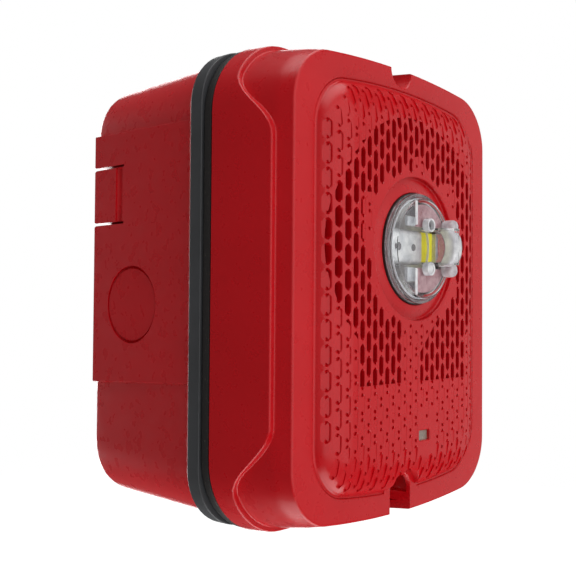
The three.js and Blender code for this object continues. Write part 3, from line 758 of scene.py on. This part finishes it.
def strobe_inserts():
    """Pieces seen through the lens, each as (piece, material, slot, nodes it stands for)."""
    found = []

    def add(piece, look, slot="lens_clear", edge=0.15, *nodes):
        found.append((rounded(piece, edge), look, slot, nodes))

    # dark discs of painted shade where the pod's pin holes are
    for name, (x, radius) in PIN_HOLE_SHADES.items():
        add(peg(name, x, PIN_Z, radius, 91, 91.68, 0.06, 24), "lens_smoke", edge=0.02)
    for (side, (x0, x1, look)), node in zip(EMITTERS.items(), ("strobe_led_1", "strobe_led_2")):
        emitter = box_piece("strobe_emitter_" + side, x0, x1, 89.6, 91.0, *EMITTER_Z)
        add(emitter, look, "led_phosphor", 0.15, node)
    add(emitter_wire(), "board_white", "board_white", 0.08)
    core = upright("lens_core_rear", [(9.0, 90.6), (11.9, 90.6), (11.9, 93.2), (7.9, 93.2)], 8.3, 17.5)
    add(core, "lens_pale")
    add(lens_core_band(), "lens_rose")
    add(lens_crown(), "lens_milk", edge=0.5)
    # rings of painted reflection for the bands in the lens wall
    for name, (low, high, depth, look) in REFRACTION_BANDS.items():
        profile = [(low, depth - 1), (high, depth - 1), (high, depth), (low, depth)]
        add(lathe("lens_refraction_band_" + name, profile, steps=96), look)
    # flat pieces whose colours are painted reflections of the lens facets
    for name, (x0, x1, z0, z1, look) in INSERTS.items():
        outline = disc_part(x0, x1, z0, z1, LENS_FACE_RADIUS - 1.5)
        add(prism("lens_" + name, outline, *INSERT), look)
    for name, (low, high) in RIBS.items():
        rib = prism("lens_rib_" + name, rectangle(*RIB_X, low, high, 0.3), 94.55, 95.1)
        add(rib, "lens_milk", edge=0.25)
    for name, (x, z, front) in EARS.items():
        add(peg("lens_ear_" + name, x, z, EAR_RADIUS, ON_FACE, front, 1.2), "lens_frost", edge=0.1)
    for name, (x, z, look, height) in POSTS.items():
        profile = [(1.45, ON_FACE), (2.1, ON_FACE)]
        profile += arc(1.9, POST_FRONT, 0.2, 0, 90, 3) + arc(1.65, POST_FRONT, 0.2, 90, 180, 3)
        add(lathe("lens_post_" + name, profile, x, z, 32), "lens_milk", edge=0.05)
        add(peg("lens_plug_" + name, x, z, 1.4, ON_FACE, height, 0.2), look, edge=0.05)
    return found


def lens_lip():
    """Black seal round the lens wall."""
    inner, outer = LENS_WALL + 0.05, LENS_HOLE - 0.02
    profile = [(inner, 86), (outer, 86)] + arc(outer - 0.1, 91.2, 0.1, 0, 90, 3) + [(inner, 91.3)]
    return smooth(lathe("lens_lip", profile, steps=96), 40)


# ---- back box


def back_box():
    around = stations()
    edge = 1.0
    wall = [grown(BOX_REAR, -edge * (1 - math.sin(math.radians(t))), edge * (1 - math.cos(math.radians(t))))
            for t in (0, 30, 60, 90)]
    wall += [between([BOX_REAR, BOX_FRONT], d) for d in (6, 14, 22, 30, 38, 45)]
    lip = [(48.0, 0.0), (48.25, 0.15), (48.5, 0.6), (48.65, 1.3), (48.9, 1.55), (49.2, 1.62),
           (BOX_DEPTH - 0.25, 1.62), (BOX_DEPTH, 1.4)]
    for depth, grow in lip:
        sec = between([BOX_REAR, BOX_FRONT], depth)
        wall.append((sec[0] + grow, sec[1] + grow * 0.35, sec[2] - grow * 0.4, 0, depth))
    inner = [grown(BOX_FRONT, -BOX_WALL, BOX_DEPTH)]
    inner += [grown(between([BOX_REAR, BOX_FRONT], d), -BOX_WALL, d) for d in (40, 25, 12, 4.5)]
    inner += [grown(BOX_REAR, -BOX_WALL - 0.8, 3.2), grown(BOX_REAR, -BOX_WALL - 2, 2.8)]
    box = loft_sections("horn_strobe_back_box", wall + inner, around)
    for side in (1, -1):
        join(box, side_panel(side))
    for sx in (1, -1):
        for sz in (1, -1):
            x, z, radius = sx * BOX_BOSS[0], sz * BOX_BOSS[1], BOX_BOSS[2]
            join(box, prism("boss", circle(x, z, radius, 32), 1, BOX_DEPTH - 0.01))
            cut(box, prism("boss_hole", circle(x, z, BOX_BOSS_HOLE, 24), 34, BOX_DEPTH + 1))
            x, z, radius = sx * WALL_HOLE[0], sz * WALL_HOLE[1], WALL_HOLE[2]
            cut(box, prism("wall_hole", circle(x, z, radius, 32), -1, 5))
    for side in (1, -1):
        snap_tab(box, side)
        side_knockout(box, side)
        end_knockout(box, side)
    return smooth(box, 30)


def side_panel(side):
    """The slightly raised middle of the box's side wall."""
    rows = []
    edge, bevel, inside = 0.5, 0.15, 49.6
    for k in range(9):
        share = k / 8
        depth = BOX_DEPTH * share
        x = PANEL_X[0] + (PANEL_X[1] - PANEL_X[0]) * share
        top = PANEL_TOP[0] + (PANEL_TOP[1] - PANEL_TOP[0]) * share
        bottom = PANEL_BOTTOM[0] + (PANEL_BOTTOM[1] - PANEL_BOTTOM[0]) * share
        outline = [(inside, bottom + 0.1), (x - edge, bottom), (x - bevel, bottom + bevel),
                   (x, bottom + edge), (x, top - edge), (x - bevel, top - bevel), (x - edge, top),
                   (inside, top - 0.1)]
        rows.append([(side * px, depth, pz) for px, pz in outline])
    return loft("side_panel", rows)


def bar_along_x(name, outline, x0, x1):
    """A prism along X, its outline in (depth, z)."""
    return loft(name, [[(x, d, z) for d, z in outline] for x in (x0, x1)])


def snap_tab(box, side):
    """The two slits and the hinge groove of the tab in one side wall."""
    low, high = TAB
    slit = TAB_SLIT
    inside = 46.0
    x0, x1 = sorted((side * inside, side * BOX_CLEAR))
    for z in (low, high):
        profile = [(-1, z - slit), (-1, z + slit), (0.2, z + slit), (0.8, z + slit * 0.55)]
        profile += [(TAB_LENGTH - 0.6, z + slit * 0.5), (TAB_LENGTH, z), (TAB_LENGTH - 0.6, z - slit * 0.5)]
        profile += [(0.8, z - slit * 0.55), (0.2, z - slit)]
        cut(box, bar_along_x("slit", profile, x0, x1))
    centre, half, deep, face = TAB_HINGE
    rows = []
    for z in (low + slit * 0.6, high - slit * 0.6):
        row = [(side * BOX_CLEAR, centre - half, z), (side * face, centre - half, z)]
        for i in range(9):
            angle = math.pi * i / 8
            row.append((side * (face - deep * math.sin(angle)), centre - half * math.cos(angle), z))
        rows.append(row + [(side * BOX_CLEAR, centre + half, z)])
    cut(box, loft("tab_hinge", rows))


def side_knockout(box, side):
    """The sunk disc of one side wall, with its ring groove."""
    depth, z, radius = KNOCKOUT
    face, groove, steps = KNOCKOUT_FACE, KNOCKOUT_GROOVE, 72
    angles = [t * math.pi / (steps / 2) for t in range(steps)]
    disc = [(depth + (radius - groove) * math.cos(a), z + (radius - groove) * math.sin(a)) for a in angles]
    cut(box, bar_along_x("disc_face", disc, *sorted((side * face, side * BOX_CLEAR))))
    profile = ((radius, BOX_CLEAR), (radius, face - 0.55), (radius - groove, face - 0.9),
               (radius - 2 * groove, face - 0.55), (radius - 2 * groove, BOX_CLEAR))
    cut(box, ring("ring_groove", [[(side * x, depth + r * math.cos(a), z + r * math.sin(a))
                                   for r, x in profile] for a in angles]))


def end_knockout(box, side):
    """The same in one end wall."""
    depth, radius = END_KNOCKOUT
    face, floor, clear = 68.5, 68.1, 74

    def disc(name, reach, near, far):
        return loft(name, [[(x, depth + y, side * height) for x, y in circle(0, 0, reach, 64)]
                           for height in (near, far)])

    cut(box, disc("end_face", radius, face, clear))
    groove = disc("end_ring", radius + KNOCKOUT_GROOVE, floor, clear)
    cut(box, cut(groove, disc("end_core", radius - KNOCKOUT_GROOVE, floor - 1, clear + 1)))


# ---- plate, seals, cover


def depths_of(node):
    """Depth of a node's rear and of its front."""
    low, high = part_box(node)
    return -high.y / MM, -low.y / MM


def mounting_plate():
    rear, front = depths_of("mounting_plate")
    plate = rounded_slab("mounting_plate_visual", section(57.6, 70.2, 17.6, rear), rear, front, 0.35)
    cut(plate, box_piece("terminal_hole", -20.8, 20.8, 50, 58, -25.3, -8.7))
    cut(plate, box_piece("wire_hole", -20, 20, 50, 58, 4, 32))
    for sx in (1, -1):
        for sz in (1, -1):
            x, z = sx * BOX_BOSS[0], sz * BOX_BOSS[1]
            cut(plate, prism("screw_sink", circle(x, z, 4, 32), 54, 58))
            cut(plate, prism("screw_hole", circle(x, z, 2.2, 24), 50, 58))
    for z in CAPTIVE_SCREWS:
        cut(plate, prism("captive_hole", circle(0, z, 1.9, 24), 50, 58))
    groove = rounded_slab("seal_groove", section(54.2, 69.7, 19.2, 50), 50, 53.1, 0.05)
    cut(groove, rounded_slab("groove_inside", section(52.3, 67.8, 17.3, 49), 49, 54, 0.05))
    cut(plate, groove)
    return smooth(plate, 30)


def housing_gasket():
    rear, front = depths_of("housing_gasket")
    sec = section(57, 71.8, 22.7, rear)
    bead, width = 0.55, 9.5
    rows = [grown(sec, -bead, rear), grown(sec, -0.2, rear + 0.15), grown(sec, 0, rear + bead)]
    rows += [grown(sec, 0, front - bead), grown(sec, -0.2, front - 0.15), grown(sec, -bead, front)]
    rows += [grown(sec, -width, front), grown(sec, -width, rear)]
    around = stations()
    gasket = ring("housing_gasket_visual", [row_of(r, around) for r in rows])
    for z in CAPTIVE_SCREWS:
        cut(gasket, prism("captive_hole", circle(0, z, 1.9, 24), 55, 61))
    return smooth(gasket, 35)


# ---- materials


def linear(value):
    value /= 255
    return value / 12.92 if value <= 0.04045 else ((value + 0.055) / 1.055) ** 2.4


def rgb(r, g, b):
    return (linear(r), linear(g), linear(b), 1.0)


class Look:
    """A node material with a Principled shader, and short ways to add procedural detail to it."""

    def __init__(self, name, color, roughness, **sockets):
        self.material = bpy.data.materials.new(name)
        self.material.use_nodes = True
        self.tree = self.material.node_tree
        self.shader = self.tree.nodes["Principled BSDF"]
        self.shader.inputs["Base Color"].default_value = color
        self.shader.inputs["Roughness"].default_value = roughness
        for socket, value in sockets.items():
            self.shader.inputs[socket.replace("_", " ")].default_value = value
        self.place = self.node("ShaderNodeTexCoord").outputs["Object"]
        self.normal = None

    def node(self, kind, **settings):
        made = self.tree.nodes.new(kind)
        for key, value in settings.items():
            setattr(made, key, value)
        return made

    def link(self, out, socket):
        self.tree.links.new(out, socket)

    def noise(self, scale, detail=3.0, roughness=0.55, stretch=None):
        texture = self.node("ShaderNodeTexNoise")
        texture.inputs["Scale"].default_value = scale
        texture.inputs["Detail"].default_value = detail
        texture.inputs["Roughness"].default_value = roughness
        source = self.place
        if stretch:
            mapping = self.node("ShaderNodeMapping")
            mapping.inputs["Scale"].default_value = stretch
            self.link(self.place, mapping.inputs["Vector"])
            source = mapping.outputs["Vector"]
        self.link(source, texture.inputs["Vector"])
        return texture.outputs["Fac"]

    def range(self, out, low, high, from_low=0.3, from_high=0.7):
        made = self.node("ShaderNodeMapRange")
        made.inputs["From Min"].default_value = from_low
        made.inputs["From Max"].default_value = from_high
        made.inputs["To Min"].default_value = low
        made.inputs["To Max"].default_value = high
        self.link(out, made.inputs["Value"])
        return made.outputs["Result"]

    def tint(self, factor, color_a, color_b):
        mix = self.node("ShaderNodeMix", data_type="RGBA")
        mix.inputs["A"].default_value = color_a
        mix.inputs["B"].default_value = color_b
        self.link(factor, mix.inputs["Factor"])
        self.link(mix.outputs["Result"], self.shader.inputs["Base Color"])

    def rough(self, factor):
        self.link(factor, self.shader.inputs["Roughness"])

    def bump(self, height, distance, strength=1.0):
        made = self.node("ShaderNodeBump")
        made.inputs["Distance"].default_value = distance
        made.inputs["Strength"].default_value = strength
        self.link(height, made.inputs["Height"])
        if self.normal is not None:
            self.link(self.normal, made.inputs["Normal"])
        self.normal = made.outputs["Normal"]
        self.link(self.normal, self.shader.inputs["Normal"])


def red_plastic():
    """Moulded red plastic: satin grain, faint flow marks and slightly uneven gloss."""
    look = Look("housing_red", rgb(200, 6, 20), 0.28, IOR=1.5, Specular_IOR_Level=0.45)
    flow = look.noise(22, 3, 0.5, (1, 1, 2.2))
    look.tint(look.range(flow, 0, 1), rgb(199, 4, 18), rgb(206, 8, 22))
    look.rough(look.range(look.noise(260, 2), 0.25, 0.34))
    look.bump(look.noise(6500, 2, 0.6), 0.000012, 0.6)
    look.bump(look.noise(40, 1), 0.00006, 0.12)
    return look.material


def charcoal_plastic():
    look = Look("charcoal_plastic", rgb(62, 63, 66), 0.42)
    look.tint(look.range(look.noise(90, 3), 0, 1), rgb(57, 58, 60), rgb(66, 67, 70))
    look.rough(look.range(look.noise(500, 2), 0.38, 0.5))
    look.bump(look.noise(5000, 2), 0.00001, 0.6)
    return look.material


def dusty_rubber():
    """Black rubber with small pale specks of dust."""
    look = Look("seal_rubber", rgb(30, 27, 26), 0.62)
    specks = look.range(look.noise(2600, 1, 0.4), 0, 1, 0.72, 0.78)
    look.tint(specks, rgb(34, 30, 29), rgb(120, 112, 105))
    look.rough(look.range(look.noise(400, 2), 0.52, 0.72))
    look.bump(look.noise(3500, 3), 0.00002, 0.7)
    return look.material


def black_plastic():
    look = Look("black_plastic", rgb(22, 20, 21), 0.5)
    look.tint(look.range(look.noise(120, 2), 0, 1), rgb(19, 18, 19), rgb(27, 26, 27))
    look.bump(look.noise(4000, 2), 0.000015, 0.6)
    return look.material


def metal(name, color_a, color_b, roughness, grain=(1, 1, 8)):
    look = Look(name, color_a, roughness, Metallic=1.0)
    look.tint(look.range(look.noise(300, 3, 0.6, grain), 0, 1), color_a, color_b)
    look.rough(look.range(look.noise(900, 2, 0.6, grain), roughness - 0.08, roughness + 0.1))
    look.bump(look.noise(2500, 2, 0.5, grain), 0.00001, 0.5)
    return look.material


def clear_plastic():
    look = Look("clear_lens", (0.97, 0.98, 0.985, 1), 0.03, IOR=1.5, Transmission_Weight=1.0)
    look.bump(look.noise(240, 2), 0.00004, 0.25)
    return look.material


# plain materials: the two colours they drift between, roughness, grain and other sockets
PLAIN = {
    "tray_silver": ((214, 216, 220), (255, 255, 255), 0.16, 420, {"Metallic": 0.2}),
    "board_green": ((24, 92, 50), (30, 108, 60), 0.42, 200, {}),
    "board_white": ((222, 222, 216), (236, 236, 231), 0.4, 200, {}),
    # pink of painted reflection for the flat pieces behind the lens face
    "lens_pink_reflection": ((164, 104, 112), (214, 172, 178), 0.3, 420, {}),
    "lens_pale": ((196, 198, 204), (224, 226, 230), 0.22, 700, {}),
    "lens_smoke": ((92, 88, 92), (120, 116, 120), 0.25, 900, {}),
    "lens_taupe": ((128, 100, 104), (160, 138, 142), 0.25, 900, {}),
    "lens_rose": ((176, 82, 98), (200, 120, 132), 0.25, 900, {}),
    "lens_milk": ((196, 194, 200), (255, 255, 255), 0.14, 330, {}),
    "lens_frost": ((206, 190, 196), (250, 246, 248), 0.1, 600, {"Transmission_Weight": 0.3}),
    # the emission on the two emitter materials is a painted glow that brightens them; the strobe is not lit
    "led_amber": ((214, 204, 20), (232, 224, 40), 0.4, 200,
                  {"Emission_Color": rgb(214, 206, 20), "Emission_Strength": 0.2}),
    "led_phosphor": ((244, 232, 30), (250, 244, 70), 0.4, 200,
                     {"Emission_Color": rgb(244, 236, 30), "Emission_Strength": 0.3}),
    "window_smoke": ((150, 140, 128), (170, 162, 150), 0.25, 200, {}),
    "white_plastic": ((214, 210, 202), (228, 225, 218), 0.45, 200, {}),
}


def plain(name, color_a, color_b, roughness, scale, sockets):
    look = Look(name, rgb(*color_a), roughness, **sockets)
    look.tint(look.range(look.noise(scale, 3), 0, 1), rgb(*color_a), rgb(*color_b))
    look.rough(look.range(look.noise(scale * 3, 2), roughness - 0.06, roughness + 0.08))
    look.bump(look.noise(scale * 18, 2), 0.00001, 0.5)
    return look.material


def all_materials():
    made = {
        "housing_red": red_plastic(),
        "plate_charcoal": charcoal_plastic(),
        "seal_rubber": dusty_rubber(),
        "black_plastic": black_plastic(),
        "lens_clear": clear_plastic(),
        "reflector_chrome": metal("reflector_chrome", (0.8, 0.81, 0.82, 1), (0.88, 0.89, 0.9, 1), 0.16),
        "zinc_steel": metal("zinc_steel", (0.52, 0.52, 0.53, 1), (0.62, 0.62, 0.62, 1), 0.32),
        "brass": metal("brass", (0.62, 0.42, 0.16, 1), (0.72, 0.5, 0.2, 1), 0.3),
    }
    made.update({name: plain(name, *values) for name, values in PLAIN.items()})
    return made


# ---- stage, lights, camera


FLOOR_REACH = 6000
FLOOR_LEVEL = -1300
FILL = 0.14                      # strength of the even light from all round
LIGHT_TARGET = (0, -0.06, 0)     # metres, like the distances and sizes of the lights
# direction from the object, distance, width, height and radiance of each soft area light
SOFTBOXES = {
    "front": ((-0.1, -1.0, 0.15), 1.3, 2.4, 2.0, 0.98),
    "front_right": ((0.76, -0.65, 0.05), 1.2, 0.6, 1.2, 0.24),
    "right": ((1.0, -0.35, 0.05), 1.2, 0.6, 1.2, 0.4),
    "backdrop": ((0.72, 0.68, 0.05), 1.3, 0.9, 1.4, 4.0),
    "top": ((0.0, -0.1, 1.0), 0.9, 1.0, 1.0, 2.1),
    "rear": ((0.1, 1.0, 0.0), 1.4, 0.7, 1.2, 9.0),
    "bottom": ((0.0, -0.1, -1.0), 0.9, 1.0, 1.0, 2.6),
    "left": ((-0.95, -0.35, 0.1), 1.2, 0.6, 0.8, 0.25),
}
CAMERA_PLACE = (-0.2287776, -0.2402496, -0.0070944)
CAMERA_AXES = {
    "right": (0.66049683, -0.75079493, 0.00713578),
    "up": (-0.02479841, -0.01231525, 0.99961661),
    "ahead": (0.7504192, 0.66042056, 0.02675271),
}
CAMERA_LENS = 55.11


def stage():
    corners = [(x * FLOOR_REACH, y * FLOOR_REACH, FLOOR_LEVEL)
               for x, y in ((-1, -1), (1, -1), (1, 1), (-1, 1))]
    floor = new_object("floor", corners, [(0, 1, 2, 3)])
    white = (1, 1, 1, 1)
    look = Look("pale_floor", (0.92, 0.92, 0.92, 1), 0.9, Emission_Color=white, Emission_Strength=1.0)
    floor.data.materials.append(look.material)
    floor.visible_diffuse = False
    floor.visible_glossy = False
    floor.visible_transmission = False
    world = bpy.data.worlds.new("studio")
    world.use_nodes = True
    bpy.context.scene.world = world
    tree = world.node_tree
    shown = tree.nodes.new("ShaderNodeBackground")
    shown.inputs["Color"].default_value = white
    fill = tree.nodes["Background"]
    fill.inputs["Color"].default_value = white
    fill.inputs["Strength"].default_value = FILL
    path = tree.nodes.new("ShaderNodeLightPath")
    mix = tree.nodes.new("ShaderNodeMixShader")
    tree.links.new(path.outputs["Is Camera Ray"], mix.inputs["Fac"])
    tree.links.new(fill.outputs[0], mix.inputs[1])
    tree.links.new(shown.outputs[0], mix.inputs[2])
    tree.links.new(mix.outputs[0], tree.nodes["World Output"].inputs["Surface"])


def softbox(name, direction, distance, width, height, radiance):
    """A soft area light that faces the object from a direction."""
    light = bpy.data.lights.new(name, "AREA")
    light.shape = "RECTANGLE"
    light.size, light.size_y = width, height
    light.energy = radiance * math.pi * width * height
    piece = bpy.data.objects.new(name, light)
    way = Vector(direction).normalized()
    piece.location = Vector(LIGHT_TARGET) + way * distance
    piece.rotation_mode = "QUATERNION"
    piece.rotation_quaternion = way.to_track_quat("Z", "Y")
    piece.visible_camera = False
    bpy.context.scene.collection.objects.link(piece)


def camera():
    data = bpy.data.cameras.new("camera")
    data.sensor_width = 36
    data.lens = CAMERA_LENS
    piece = bpy.data.objects.new("camera", data)
    right, up, ahead = (Vector(CAMERA_AXES[key]) for key in ("right", "up", "ahead"))
    turn = Matrix((right, up, -ahead)).transposed().to_4x4()
    piece.matrix_world = Matrix.Translation(CAMERA_PLACE) @ turn
    data.clip_start, data.clip_end = 0.01, 50
    bpy.context.scene.collection.objects.link(piece)
    bpy.context.scene.camera = piece
    bpy.context.scene.view_settings.view_transform = "Standard"


# ---- assembly

camera()
stage()
for light_name, settings in SOFTBOXES.items():
    softbox(light_name, *settings)
MATERIALS = all_materials()
SLOT_OF = {p["node"]: p["material_slot"] for p in frame["record"]["subparts"]}
for node, piece in frame["nodes"].items():
    piece.data.materials.clear()
    piece.data.materials.append(MATERIALS[SLOT_OF[node]])
    rounded(piece, 0.15)

finish_piece(front_housing(), "housing_red", "front_unit", "housing_red", "front_housing")
shell_piece = finish_piece(lens_shell(), "lens_clear", "front_unit", "lens_clear", "lens")
shell_piece.visible_shadow = False
finish_piece(lens_lip(), "seal_rubber", "front_unit", "seal_rubber", "lens_seal")
pane = rounded(box_piece("candela_pane", *PANE), 0.2)
finish_piece(pane, "window_smoke", "front_unit", "window_smoke", "candela_window")
finish_piece(strobe_tray(), "tray_silver", "front_unit", "reflector_chrome", "reflector", "led_board")
for part, look_name, slot_name, nodes in strobe_inserts():
    finish_piece(part, look_name, "front_unit", slot_name, *nodes)
finish_piece(back_box(), "housing_red", "root", "housing_red", "back_box")
finish_piece(mounting_plate(), "plate_charcoal", "root", "plate_charcoal", "mounting_plate")
finish_piece(housing_gasket(), "seal_rubber", "front_unit", "seal_rubber", "housing_gasket")
